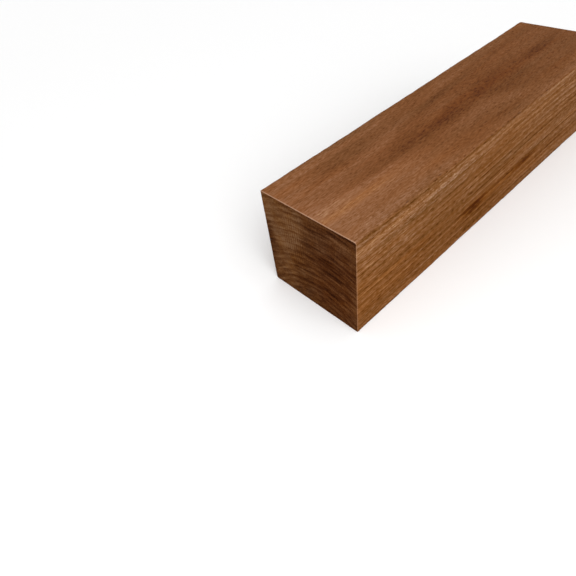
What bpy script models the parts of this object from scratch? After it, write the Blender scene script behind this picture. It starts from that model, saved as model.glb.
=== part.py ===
"""Square hardwood turning blank, the stock that a spindle or a bowl stem is turned from.

It is one piece: a length of walnut sawn from the log, planed square on its four long faces and cross-cut at
both ends. It lies on a long face, with +X along the grain, +Z up and the origin at the middle of its underside.
"""

from math import radians

import bmesh
import bpy

MM = 0.001

# Stock size: the four planed faces and the distance between the two saw cuts.
BLANK_LENGTH = 304.8 * MM
BLANK_WIDTH = 76.2 * MM
BLANK_HEIGHT = 76.2 * MM

# The long arrises come off the planer sharp and are eased by hand. The cross-cut ones are only just broken.
LONG_ARRIS_RADIUS = 1.2 * MM
END_ARRIS_RADIUS = 0.6 * MM
LONG_ARRIS_STEPS = 5
END_ARRIS_STEPS = 3

# A long arris turns a quarter of a circle in small steps, and only the edges at an end turn it all at once.
END_ARRIS_ANGLE = radians(60)

# Oiled walnut heartwood, as a linear colour.
HEARTWOOD_COLOUR = (0.235, 0.094, 0.036, 1.0)
HEARTWOOD_ROUGHNESS = 0.55

COLLECTION_NAME = "wood_turning_blank"
BLANK_NAME = "turning_blank"
LONG_ARRIS_WEIGHT = "long_arris"


def clear_scene():
    """Remove whatever the file holds, so that only the blank is left."""
    for obj in list(bpy.data.objects):
        bpy.data.objects.remove(obj)


def new_collection(name):
    """Return a collection in the scene for the object's parts."""
    collection = bpy.data.collections.new(name)
    bpy.context.scene.collection.children.link(collection)
    return collection


def walnut_material():
    """Return the planed walnut, a dull dielectric."""
    material = bpy.data.materials.new("planed_walnut")
    material.use_nodes = True
    shader = material.node_tree.nodes["Principled BSDF"]
    shader.inputs["Base Color"].default_value = HEARTWOOD_COLOUR
    shader.inputs["Roughness"].default_value = HEARTWOOD_ROUGHNESS
    shader.inputs["Metallic"].default_value = 0.0
    return material


def sawn_square():
    """Return a block of the stock size with sharp arrises, its underside centred on the origin."""
    mesh = bpy.data.meshes.new(BLANK_NAME)
    block = bmesh.new()
    bmesh.ops.create_cube(block, size=1.0)
    bmesh.ops.translate(block, verts=block.verts, vec=(0.0, 0.0, 0.5))
    bmesh.ops.scale(block, verts=block.verts, vec=(BLANK_LENGTH, BLANK_WIDTH, BLANK_HEIGHT))
    weight = block.edges.layers.float.new(LONG_ARRIS_WEIGHT)
    for edge in block.edges:
        along = edge.verts[1].co - edge.verts[0].co
        edge[weight] = 1.0 if abs(along.x) > abs(along.y) + abs(along.z) else 0.0
    block.to_mesh(mesh)
    block.free()
    return bpy.data.objects.new(BLANK_NAME, mesh)


def ease_long_arrises(blank):
    """Round the four arrises that run along the grain."""
    bevel = blank.modifiers.new("ease_long_arrises", "BEVEL")
    bevel.limit_method = "WEIGHT"
    bevel.edge_weight = LONG_ARRIS_WEIGHT
    bevel.width = LONG_ARRIS_RADIUS
    bevel.segments = LONG_ARRIS_STEPS


def break_end_arrises(blank):
    """Round the arris all the way round each cross-cut end, over the eased corners too."""
    bevel = blank.modifiers.new("break_end_arrises", "BEVEL")
    bevel.limit_method = "ANGLE"
    bevel.angle_limit = END_ARRIS_ANGLE
    bevel.width = END_ARRIS_RADIUS
    bevel.segments = END_ARRIS_STEPS
    bevel.harden_normals = True


def build_blank(collection):
    """Add the finished blank to the collection."""
    blank = sawn_square()
    collection.objects.link(blank)
    blank.data.materials.append(walnut_material())
    blank.data.shade_smooth()
    ease_long_arrises(blank)
    break_end_arrises(blank)
    return blank


def main():
    clear_scene()
    build_blank(new_collection(COLLECTION_NAME))


main()
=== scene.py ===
"""Looks of a walnut turning blank: its planed long faces, its sawn ends and its soft studio light.

The frame is the part's own. +X runs along the grain, from the end that faces the camera to the far end.
+Y runs away from the long side that faces the camera, and +Z is up. Design values are in millimetres and
degrees, and they are turned to metres and radians where Blender takes them.
"""

import logging
from collections.abc import Mapping, Sequence
from dataclasses import dataclass, field
from enum import Enum
from math import radians, tau

import bpy
import numpy as np
from mathutils import Matrix, Vector


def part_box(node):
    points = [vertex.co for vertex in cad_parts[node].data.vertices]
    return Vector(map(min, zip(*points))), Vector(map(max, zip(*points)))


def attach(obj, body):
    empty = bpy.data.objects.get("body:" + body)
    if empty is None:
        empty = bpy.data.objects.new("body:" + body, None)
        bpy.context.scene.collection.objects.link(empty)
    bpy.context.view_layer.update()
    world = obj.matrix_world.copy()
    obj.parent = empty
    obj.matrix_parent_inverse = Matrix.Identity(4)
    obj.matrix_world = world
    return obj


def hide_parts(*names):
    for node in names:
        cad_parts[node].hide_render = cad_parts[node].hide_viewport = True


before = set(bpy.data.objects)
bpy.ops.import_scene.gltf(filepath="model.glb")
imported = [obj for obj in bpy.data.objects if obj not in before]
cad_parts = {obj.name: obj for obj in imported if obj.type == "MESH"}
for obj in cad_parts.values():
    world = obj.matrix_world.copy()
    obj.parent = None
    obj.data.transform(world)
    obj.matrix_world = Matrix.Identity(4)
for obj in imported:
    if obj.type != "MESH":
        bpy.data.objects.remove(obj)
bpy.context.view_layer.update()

CAD_NODE = "turning_blank"
MM = 0.001
NODES_IN_ROW = 14
NODE_SPACING = (220.0, 330.0)

# Seeds of the noises in the skin. A noise on the four arrises takes its own seed and the next three.
SLOW_SEED, BRUISE_SEED, HOLLOW_SEED, TORN_SEED, RIDGE_SEED, FUZZ_AND_HIGHLIGHT_SEED = 20, 30, 40, 41, 50, 60

Socket = bpy.types.NodeSocket
Tree = bpy.types.NodeTree

log = logging.getLogger("turning_blank")


def linear(colour: str) -> tuple[float, float, float, float]:
    """Turn an sRGB hex colour into the linear values that a shader takes.

    A channel above 0.04045 becomes ((c + 0.055) / 1.055) to the power 2.4, and a smaller one c / 12.92.

    Args:
        colour: Hex colour such as "#87532f".

    Returns:
        Linear red, green and blue, and an alpha of 1.
    """
    srgb = np.array([int(colour[start : start + 2], 16) for start in (1, 3, 5)]) / 255.0
    bright = ((srgb + 0.055) / 1.055) ** 2.4
    red, green, blue = np.where(srgb > 0.04045, bright, srgb / 12.92).tolist()
    return red, green, blue, 1.0


def feed(node: bpy.types.Node, feeds: Mapping[int | str, object]) -> None:
    """Feed a node's inputs.

    Args:
        node: The node.
        feeds: Input, by name or number, to its value or to the output that is linked to it.
    """
    for name, value in feeds.items():
        if isinstance(value, Socket):
            node.id_data.links.new(value, node.inputs[name])
        else:
            node.inputs[name].default_value = value


def add(
    tree: Tree,
    kind: str,
    feeds: Mapping[int | str, object] | None = None,
    output: int | str = 0,
    stops: Sequence[tuple[float, tuple[float, ...]]] = (),
    **settings: object,
) -> Socket:
    """Add one node to a tree, with its settings and links.

    Args:
        tree: Node tree that takes the node.
        kind: Blender's type name of the node, without the ShaderNode that all of them start with.
        feeds: Input, by name or number, to its value or to the output that is linked to it.
        output: Output to return, by name or number.
        stops: Places and colours of a colour ramp's stops.
        settings: Properties of the node, such as its operation.

    Returns:
        The chosen output, from which .node gives the node itself.
    """
    node = tree.nodes.new("ShaderNode" + kind)
    for name, value in settings.items():
        setattr(node, name, value)
    feed(node, feeds or {})
    for number, (place, colour) in enumerate(stops):
        ramp = node.color_ramp.elements
        stop = ramp[number] if number < 2 else ramp.new(place)
        stop.position = place
        stop.color = colour
    row, column = divmod(len(tree.nodes), NODES_IN_ROW)
    node.location = (NODE_SPACING[0] * column, -NODE_SPACING[1] * row)
    return node.outputs[output]


def new_material(name: str) -> tuple[bpy.types.Material, Tree, bpy.types.Node]:
    """Make a material.

    Args:
        name: The material's name.

    Returns:
        The material, its node tree and the shader in it.
    """
    material = bpy.data.materials.new(name)
    material.use_nodes = True
    return material, material.node_tree, material.node_tree.nodes["Principled BSDF"]


def new_object(name: str, data: bpy.types.ID) -> bpy.types.Object:
    """Put a mesh, a lamp or a camera into the scene.

    Args:
        name: The object's name.
        data: What it shows.

    Returns:
        The object.
    """
    made = bpy.data.objects.new(name, data)
    bpy.context.scene.collection.objects.link(made)
    return made


def value_noise(points: np.ndarray, cell: Sequence[float], seed: int) -> np.ndarray:
    """Give a smooth random field at a set of points.

    Random numbers stand at the corners of a lattice of boxes. A point takes the weighted mean of the eight
    corners of its box, each weight a product of the smooth steps 3t^2 - 2t^3 of its place t in the box
    along each axis.

    Args:
        points: Places in millimetres, with the three coordinates on the last axis.
        cell: Size of a lattice box along each axis, in millimetres.
        seed: Seed of the lattice's random numbers.

    Returns:
        Values between 0 and 1, with the shape of points less its last axis.
    """
    flat = points.reshape(-1, 3)
    place = (flat - flat.min(axis=0)) / np.asarray(cell)
    low = np.floor(place).astype(int)
    step = place - low
    step = step * step * (3.0 - 2.0 * step)
    lattice = np.random.default_rng(seed).random(tuple(low.max(axis=0) + 2))
    total = np.zeros(len(flat))
    for corner in np.ndindex(2, 2, 2):
        weight = np.where(np.array(corner) == 1, step, 1.0 - step).prod(axis=-1)
        along, across, up = (low + corner).T
        total += weight * lattice[along, across, up]
    return total.reshape(points.shape[:-1])


class Face(Enum):
    """The six faces, with their outward normals."""

    TOP = (0.0, 0.0, 1.0)
    FRONT = (0.0, -1.0, 0.0)
    UNDERSIDE = (0.0, 0.0, -1.0)
    BACK = (0.0, 1.0, 0.0)
    NEAR_END = (-1.0, 0.0, 0.0)
    FAR_END = (1.0, 0.0, 0.0)


# The long faces, clockwise as the near end shows them.
LONG_FACES = (Face.TOP, Face.FRONT, Face.UNDERSIDE, Face.BACK)

# Shares of the map of the skin: the strip of a long face and the margin before it, and the square of an end
# and its lower left corner.
STRIP = (0.68, 0.24)
STRIP_MARGIN = 0.005
END_SQUARE = 0.29
END_CORNERS = {Face.NEAR_END: (0.695, 0.01), Face.FAR_END: (0.695, 0.35)}


@dataclass(frozen=True)
class Growth:
    """How the tree grew through this piece, which sets where each ring meets a face.

    The pith ran below the blank, a little nearer to its front. The stem leaned and wandered, so a ring that
    a straight stem would show as a straight line drifts across the face, and opens into arches on the top.

    Attributes:
        pith_y: Place of the pith across the blank, at mid-length.
        pith_z: Height of the pith above the floor, at mid-length.
        lean: Angle by which the stem rises towards the far end.
        sway: How far the stem wanders to each side of a straight line.
        sway_length: Length over which it wanders up, down and back.
        side_sway_length: Length over which it does so sideways.
        ring: Thickness of a year's growth.
        first_ring: Count of the rings at the pith, which slides them all outwards.
    """

    pith_y: float = -9.1
    pith_z: float = -45.7
    lean: float = 0.9
    sway: float = 1.2
    sway_length: float = 260.0
    side_sway_length: float = 442.0
    ring: float = 4.7
    first_ring: float = 0.35

    def stem_points(self, points: np.ndarray) -> np.ndarray:
        """Place points relative to the stem: along it, and across it from the pith.

        The points are moved to the pith, turned back by the lean, and then shifted by the sway: one sine
        along the stem in height, and one with a longer wave across.

        Args:
            points: Places in the blank in millimetres.

        Returns:
            Places relative to the stem in millimetres.
        """
        turn = Matrix.Rotation(-radians(self.lean), 3, "Y")
        turned = (points - np.array([0.0, self.pith_y, self.pith_z])) @ np.array(turn)
        along, across, up = np.moveaxis(turned, -1, 0)
        across = across - self.sway * np.sin(along * tau / self.side_sway_length)
        up = up - self.sway * np.sin(along * tau / self.sway_length)
        return np.stack([along, across, up], axis=-1)

    def rings(self, points: np.ndarray) -> np.ndarray:
        """Count the rings out to each point: its distance from the pith over a ring's thickness."""
        _, across, up = np.moveaxis(self.stem_points(points), -1, 0)
        return np.hypot(across, up) / self.ring + self.first_ring

    def flatness(self, points: np.ndarray, normals: np.ndarray) -> np.ndarray:
        """Give how far a surface lies along the rings, 1 where it does and 0 where it cuts across them.

        It is the size of the product of the surface's normal and the direction out from the pith.

        Args:
            points: Places in the blank in millimetres.
            normals: The surface's normals there.

        Returns:
            Values between 0 and 1, with the shape of points less its last axis.
        """
        outward = self.stem_points(points)
        outward[..., 0] = 0.0
        outward /= np.linalg.norm(outward, axis=-1, keepdims=True)
        return np.abs((outward * normals).sum(axis=-1))

    def stem_socket(self, tree: Tree, place: Socket) -> Socket:
        """Add nodes that do the same for a material.

        Args:
            tree: Node tree of a wood material.
            place: Object coordinates in metres.

        Returns:
            The place along the stem and across it from the pith, in millimetres.
        """
        turned = add(
            tree,
            "Mapping",
            {
                "Vector": place,
                "Location": (0.0, self.pith_y * MM, self.pith_z * MM),
                "Rotation": (0.0, -radians(self.lean), 0.0),
                "Scale": (MM, MM, MM),
            },
            vector_type="TEXTURE",
            label="from the pith, in mm",
        )
        along, across, up = add(tree, "SeparateXYZ", {0: turned}).node.outputs
        moved = []
        for side, wave in ((across, self.side_sway_length), (up, self.sway_length)):
            turns = add(tree, "Math", {0: along, 1: tau / wave}, operation="MULTIPLY")
            swing = add(tree, "Math", {0: turns}, operation="SINE", label="sway of the stem")
            moved.append(add(tree, "Math", {0: swing, 1: -self.sway, 2: side}, operation="MULTIPLY_ADD"))
        return add(tree, "CombineXYZ", {0: along, 1: moved[0], 2: moved[1]})


# The two axes along a face and the one that runs into the wood, as 0, 1 and 2 for X, Y and Z. The number
# after them is the place on the last one, at the face or just over it, where its streaks have their middles.
STREAK_PLANES = {
    Face.TOP: ((0, 1, 2), 77.0),
    Face.FRONT: ((0, 2, 1), -38.1),
    Face.NEAR_END: ((1, 2, 0), -152.4),
}


@dataclass(frozen=True)
class Streak:
    """A soft-edged streak in the wood, an ellipsoid with its middle at one of the faces.

    Attributes:
        name: What it is.
        middle: Its middle along the face's two axes, in millimetres.
        reach: Its half-sizes along them and into the wood, in millimetres, where it has faded out.
        strength: What it adds at its middle to the value that its table is for.
        turn: How it is turned about the axis that runs into the wood, in degrees.
        soft: Share of the half-sizes in which it fades.
        ragged: Share of its strength that the fibre bundles add or take away.
    """

    name: str
    middle: tuple[float, float]
    reach: tuple[float, float, float]
    strength: float
    turn: float = 0.0
    soft: float = 1.0
    ragged: float = 0.4

    def mapping(self, face: Face) -> dict[str, np.ndarray]:
        """Give the settings of the Mapping node that puts the streak at a face.

        Args:
            face: The face.

        Returns:
            Its middle and half-sizes in metres and its turn in radians, along the blank's axes.
        """
        axes, plane = STREAK_PLANES[face]
        middle, reach, turn = np.zeros((3, 3))
        middle[list(axes)] = (*self.middle, plane)
        reach[list(axes)] = self.reach
        turn[axes[-1]] = radians(self.turn)
        return {"Location": middle * MM, "Rotation": turn, "Scale": reach * MM}


# These add to the tone, which runs from 0, dark, to 1, pale.
TONE_STREAKS = {
    Face.TOP: (
        # The pale near third and near corner, and the dull back edge and far half, are partly the wood's own
        # tone and partly a painted sheen. It is brightest at the near front corner of the top and fades
        # towards the far back.
        Streak("pale near third", (-162, 8), (66, 40, 12), 0.13),
        Streak("dull back edge", (-60, 36), (110, 18, 12), -0.06),
        Streak("dull far half", (50, 0), (200, 60, 12), -0.14),
        Streak("pale wedge at the near end", (-142, -12.5), (128, 12.5, 9), 0.18, turn=-2, ragged=0.05),
        Streak("pale front third", (-110, -23.5), (130, 14.5, 9), 0.12, turn=1, ragged=0.1),
        Streak("dull strip behind the front arris", (-88, -34.5), (34, 5, 7), -0.03),
        Streak("pale near corner", (-146, -33), (34, 9, 7), 0.14),
        Streak("dark heart band", (-38, -2.4), (84, 9.5, 9), -0.17),
        Streak("dark heart band, far part", (30, -3), (80, 12, 9), -0.06),
        Streak("pale patch before it", (-12, -15), (44, 8, 6), 0.06),
        Streak("pale patch in it", (-14, -1.8), (34, 4.5, 5), 0.07),
        Streak("pale patch past the dark line", (20, -25), (32, 5, 6), 0.05),
        Streak("pale far front edge", (-30, -35), (56, 6, 6), 0.06),
        Streak("dark heart band, last third", (118, 1), (60, 8, 9), -0.14, turn=4),
        Streak("near branch of the band", (-50, 5), (36, 4.5, 7), -0.07, turn=4),
        Streak("far branch of the band", (10, 5), (40, 4, 7), -0.05, turn=3),
        Streak("near dark flank", (-96, 23), (42, 11, 8), -0.14),
        Streak("dark spot in the near flank", (-112, 19.3), (10, 3, 5), -0.12),
        Streak("far dark flank", (-1, 19.5), (34, 6, 8), -0.1, turn=3),
        Streak("dull middle of the back half", (-50, 19), (52, 9, 8), -0.06),
        Streak("pale stripe beside the band", (-84, 10), (56, 4.5, 6), 0.07, turn=2),
        Streak("dull stripe over it", (-104, 16), (50, 5, 6), -0.07),
        Streak("dull patch beside the band", (-38, -9), (38, 4, 6), -0.05),
        Streak("pale middle of the wedge", (-104, -16), (48, 7, 6), 0.06),
        Streak("dark edge of the wedge", (-98, -5), (68, 1.8, 5), -0.05, turn=-1, soft=0.8, ragged=0.2),
        Streak("pale patch behind the wedge", (-118, 4), (28, 6, 6), 0.06),
        Streak("pale edge of the wedge", (-112, -8.4), (62, 2.2, 5), 0.07, turn=-1, soft=0.8, ragged=0.2),
        Streak("fine dark line", (-130, 13.6), (32, 1.5, 5), -0.12, turn=6),
        Streak("dark line by the front arris", (13, -29.5), (32, 1.7, 5), -0.17, turn=-6),
    ),
    Face.FRONT: (
        Streak("pale band under the front arris", (-60, 70), (270, 7, 6), 0.19, turn=-1.9, ragged=0.15),
        Streak("dull line over it", (-104, 73.8), (40, 3, 6), -0.07),
        Streak("dull line under it", (-78, 68.9), (46, 3.4, 6), -0.14),
        Streak("dull line under that", (-108, 66.4), (54, 2.8, 6), -0.08),
        Streak("pale upper far edge", (38, 72), (80, 4.5, 6), 0.1),
        Streak("pale line under it", (-8, 66), (70, 2.4, 6), 0.09, turn=-1.2),
        Streak("second pale line", (-58, 63), (62, 5.5, 6), 0.1),
        Streak("dull upper near line", (-95, 54), (46, 4, 6), -0.08),
        Streak("pale far line", (55, 60.5), (90, 6, 6), 0.09),
        Streak("pale far middle", (0, 46.5), (60, 6, 6), 0.1),
        Streak("pale middle line", (20, 36), (90, 5, 6), 0.05),
        Streak("pale line over the mineral streaks", (30, 30.5), (85, 4, 6), 0.06),
        Streak("pale near line", (-105, 31), (56, 6, 6), 0.07),
        Streak("dull line under the first streak", (-60, 15.5), (34, 3.5, 6), -0.06),
        Streak("pale near end", (-155, 45), (70, 40, 6), 0.05),
        Streak("dull middle", (-30, 34), (95, 44, 6), -0.1),
        Streak("pale line over the far middle", (58, 41.5), (46, 5, 6), 0.07),
        Streak("dull start of the pale band", (-148, 66.7), (16, 4, 6), -0.08),
        Streak("pale start of the middle", (-146, 47.6), (18, 4, 6), 0.08),
        Streak("dull line under that start", (-148, 41.3), (16, 3.5, 6), -0.06),
        Streak("pale far part", (85, 47), (100, 36, 8), 0.05),
        Streak("first mineral streak", (-27, 22.9), (20, 5.6, 6), -0.64),
        Streak("its tail", (-41, 25), (14, 1.8, 5), -0.14),
        Streak("second mineral streak", (42.5, 24.4), (21, 4.6, 6), -0.3),
        Streak("vein that joins them", (16, 25.4), (96, 1.6, 5), -0.26),
        Streak("dark patch under the vein", (6, 14.5), (36, 3.4, 5), -0.18),
    ),
    Face.NEAR_END: (
        # The pale upper and lower flanks are painted light: a paler patch over the back half of the near
        # end.
        Streak("pale upper flank", (26, 61), (29, 31, 9), 0.28, soft=0.42, ragged=0.08),
        Streak("dull top of the flank", (29, 75), (15, 8, 9), -0.17),
        Streak("pale top of the flank", (6, 74), (7, 7, 9), 0.09),
        Streak("dull foot of the flank", (4.5, 54), (9, 10, 9), -0.1),
        Streak("pale spot in the flank", (21, 42), (11, 8, 9), 0.15),
        Streak("pale spot under it", (8, 26), (9, 7, 9), 0.12),
        Streak("pale lower flank", (25, 17), (15, 26, 9), 0.21, soft=0.6, ragged=0.08),
        Streak("dark back edge", (38, 45), (10, 18, 9), -0.38),
        Streak("dull front half", (-26, 38), (28, 52, 9), -0.08),
        Streak("dark top corner", (-25, 76), (25, 8, 9), -0.2),
        Streak("dull upper front", (-18, 51), (20, 12, 9), -0.08),
        Streak("pale front edge", (-38, 22), (7.5, 32, 9), 0.2),
        Streak("pale lower front corner", (-32, 18), (11, 18, 9), 0.07),
        Streak("pale year near the top", (-27, 66), (14, 4.5, 9), 0.14),
        Streak("upper dark year", (-12, 46.5), (15, 2.6, 9), -0.16, turn=4),
        Streak("middle dark year", (-17, 38.5), (19, 3.2, 9), -0.2, turn=8),
        Streak("lower dark year", (-18.5, 21.5), (15, 3, 9), -0.22, turn=8),
    ),
}

# These add to the hue, which runs from 0, a dull brown, to 1, a warm one.
HUE_STREAKS = {
    Face.TOP: (
        Streak("warmer heart band", (0, -1), (130, 15, 12), 0.28),
        Streak("warmer wedge", (-125, -14), (62, 11, 9), 0.16),
        Streak("duller patch before the heart band", (5, -13), (52, 9, 8), -0.22),
        Streak("duller back edge of the top", (-70, 38), (120, 8, 8), -0.2),
        Streak("duller patch behind the heart band", (0, 9), (42, 6, 8), -0.15),
        Streak("duller near flank", (-90, 21), (30, 12, 8), -0.18),
    ),
    Face.FRONT: (
        Streak("warmer line under the pale one", (-112, 66.6), (72, 5, 6), 0.11),
        Streak("duller line under the front arris", (-92, 74.2), (50, 3.4, 6), -0.16),
        Streak("duller second line", (-102, 60), (46, 4.2, 6), -0.2),
        Streak("warmer near part of the front", (-165, 28), (150, 34, 8), 0.2),
        Streak("warmer mineral streaks", (8, 24.2), (72, 6, 6), 0.13),
        Streak("warm first streak", (-27, 23.6), (32, 7, 6), 0.36),
        Streak("warm second streak", (42, 24.6), (32, 6, 6), 0.38),
        Streak("warmer lower far part of the front", (60, 17), (110, 9, 7), 0.15),
        Streak("duller upper middle of the front", (-60, 64), (78, 13, 8), -0.15),
        Streak("duller upper far part of the front", (60, 70), (110, 13, 8), -0.12),
        Streak("duller upper near corner", (-134, 75), (54, 7, 8), -0.16),
    ),
    Face.NEAR_END: (
        Streak("duller back flank", (35, 44), (12, 46, 9), -0.14),
        Streak("warmer lower front", (-20, 22), (24, 14, 9), 0.18),
        Streak("warmer middle", (12, 30), (14, 16, 9), 0.14),
        Streak("duller upper front", (-12, 60), (30, 20, 9), -0.24),
        Streak("duller lower dark year", (-21, 26), (12, 7, 9), -0.3),
    ),
}

# These add to the redness, the share of the green and blue that is missing.
RED_STREAKS = {
    Face.TOP: (
        Streak("redder middle of the top", (0, 4), (460, 54, 14), 0.045),
    ),
    Face.NEAR_END: (
        Streak("redder front half", (-23, 34), (32, 54, 9), 0.06, soft=0.6),
    ),
}

# Where the cutters lifted the fibres. These add to the strength of the specks of torn grain.
TORN_STREAKS = {
    Face.TOP: (
        Streak("torn grain at the near corner", (-142, -33), (40, 13, 9), 0.6),
    ),
    Face.FRONT: (
        Streak("torn grain under the front arris", (-82, 69), (84, 19, 8), 1.15),
    ),
}


@dataclass(frozen=True)
class SawCut:
    """The marks that a circular saw left on the ends.

    Attributes:
        middle: Where the blade's axis was, in Y and Z, in millimetres.
        ridge_pitch: Distance between the coarse ridges.
        ridge_depth: Depth of the coarse ridges.
        scratch: Spacing of the fine scratches, drawn about twice as coarse as real, to show.
        chatter: Spacing of the marks where the blade shook.
        chatter_place: Middle of the patch of those marks, on the near end, in millimetres.
        chatter_reach: Half-sizes of that patch, in millimetres.
        waver: How far the fibre bundles shift those marks, as an angle of their wave in radians.
        layers: Values of the bands of growth between which the blade starts to bite deeper.
        bite: Strength of those marks in the dark bands and in the pale ones.
    """

    middle: tuple[float, float] = (70.0, -95.0)
    ridge_pitch: float = 3.4
    ridge_depth: float = 0.04
    scratch: float = 1.5
    chatter: float = 2.0
    chatter_place: tuple[float, float, float] = (-152.4, 13.0, 48.0)
    chatter_reach: tuple[float, float, float] = (20.0, 15.0, 29.0)
    waver: float = 2.6
    layers: tuple[float, float] = (0.35, 0.6)
    bite: tuple[float, float] = (0.3, 1.4)


@dataclass(frozen=True)
class Figure:
    """The pattern that walnut shows on every cut face, because it runs right through the wood.

    Attributes:
        growth: The tree's growth.
        ring_drift: How far a ring strays from its circle.
        drift_cell: Length and width of such a stray.
        zone_cell: Length and width of the broad colour zones.
        hue_cell: Length and width of the zones of warmer and duller brown.
        fibre_cell: Length and width of the fibre bundles. Fibres are 0.02 mm wide, too fine to show.
        layer_cell: Length, width and thickness of the bands of growth that lie round the pith in a year.
        grain_cell: Length and width of the short marks of the grain. Real ones are about 0.3 mm wide, and
            these are drawn coarser, to show.
        speck_cell: Length and width of the specks where the grain is torn.
        pore_cell: Length and width of the space that each vessel has. Walnut's are 0.15 mm wide, and these
            are drawn about three times as wide, to show.
        ray_cell: Thickness along the stem, width and radial length of the rays, which are drawn wider too.
        arc_radius: Distance from the pith to about the middle of the section, where arcs are measured.
        year_tones: Tones inside a year's growth, each after its place in the year.
        year_scale: How fast the pale and dark years take turns.
        pore_core: Distance from a vessel's middle up to which it is open, as a share of its space.
        pore_edge: Distance at which it ends in the dark late wood.
        early_pore: How much further out it ends in the pale early wood, which has the wider vessels.
        ray_limits: Values of the noise between which a ray sets in.
    """

    growth: Growth = field(default_factory=Growth)
    ring_drift: float = 1.6
    drift_cell: tuple[float, float] = (120.0, 26.0)
    zone_cell: tuple[float, float] = (210.0, 17.0)
    hue_cell: tuple[float, float] = (93.75, 8.125)
    fibre_cell: tuple[float, float] = (60.0, 1.8)
    layer_cell: tuple[float, float, float] = (90.0, 12.0, 2.3)
    grain_cell: tuple[float, float] = (3.6, 0.85)
    speck_cell: tuple[float, float] = (1.3, 0.75)
    pore_cell: tuple[float, float] = (5.0, 1.0)
    ray_cell: tuple[float, float, float] = (2.2, 1.1, 14.0)
    arc_radius: float = 85.0
    year_tones: tuple[tuple[float, float], ...] = (
        (0.0, 0.1),
        (0.10, 0.85),
        (0.24, 1.0),
        (0.66, 0.62),
        (0.90, 0.1),
        (0.95, 0.0),
    )
    year_scale: float = 0.85
    pore_core: float = 0.1
    pore_edge: float = 0.34
    early_pore: float = 0.12
    ray_limits: tuple[float, float] = (0.56, 0.72)


@dataclass(frozen=True)
class FigureSockets:
    """Outputs of the nodes that draw the figure. Each is between 0 and 1 unless it says otherwise.

    Attributes:
        place: Object coordinates in metres.
        ring: How pale the wood is for its place in the year, 1 in early wood and 0 in late wood.
        year: How pale the year is as a whole.
        zone: How pale the broad zone is.
        hue: How warm the brown is.
        fibre: How pale the fibre bundle is.
        layer: How pale the band of growth is.
        grain: How pale the short mark of the grain is.
        speck: How pale the speck is where the grain is torn.
        pore: 1 inside a vessel.
        ray: 1 inside a ray.
    """

    place: Socket
    ring: Socket
    year: Socket
    zone: Socket
    hue: Socket
    fibre: Socket
    layer: Socket
    grain: Socket
    speck: Socket
    pore: Socket
    ray: Socket


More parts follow.
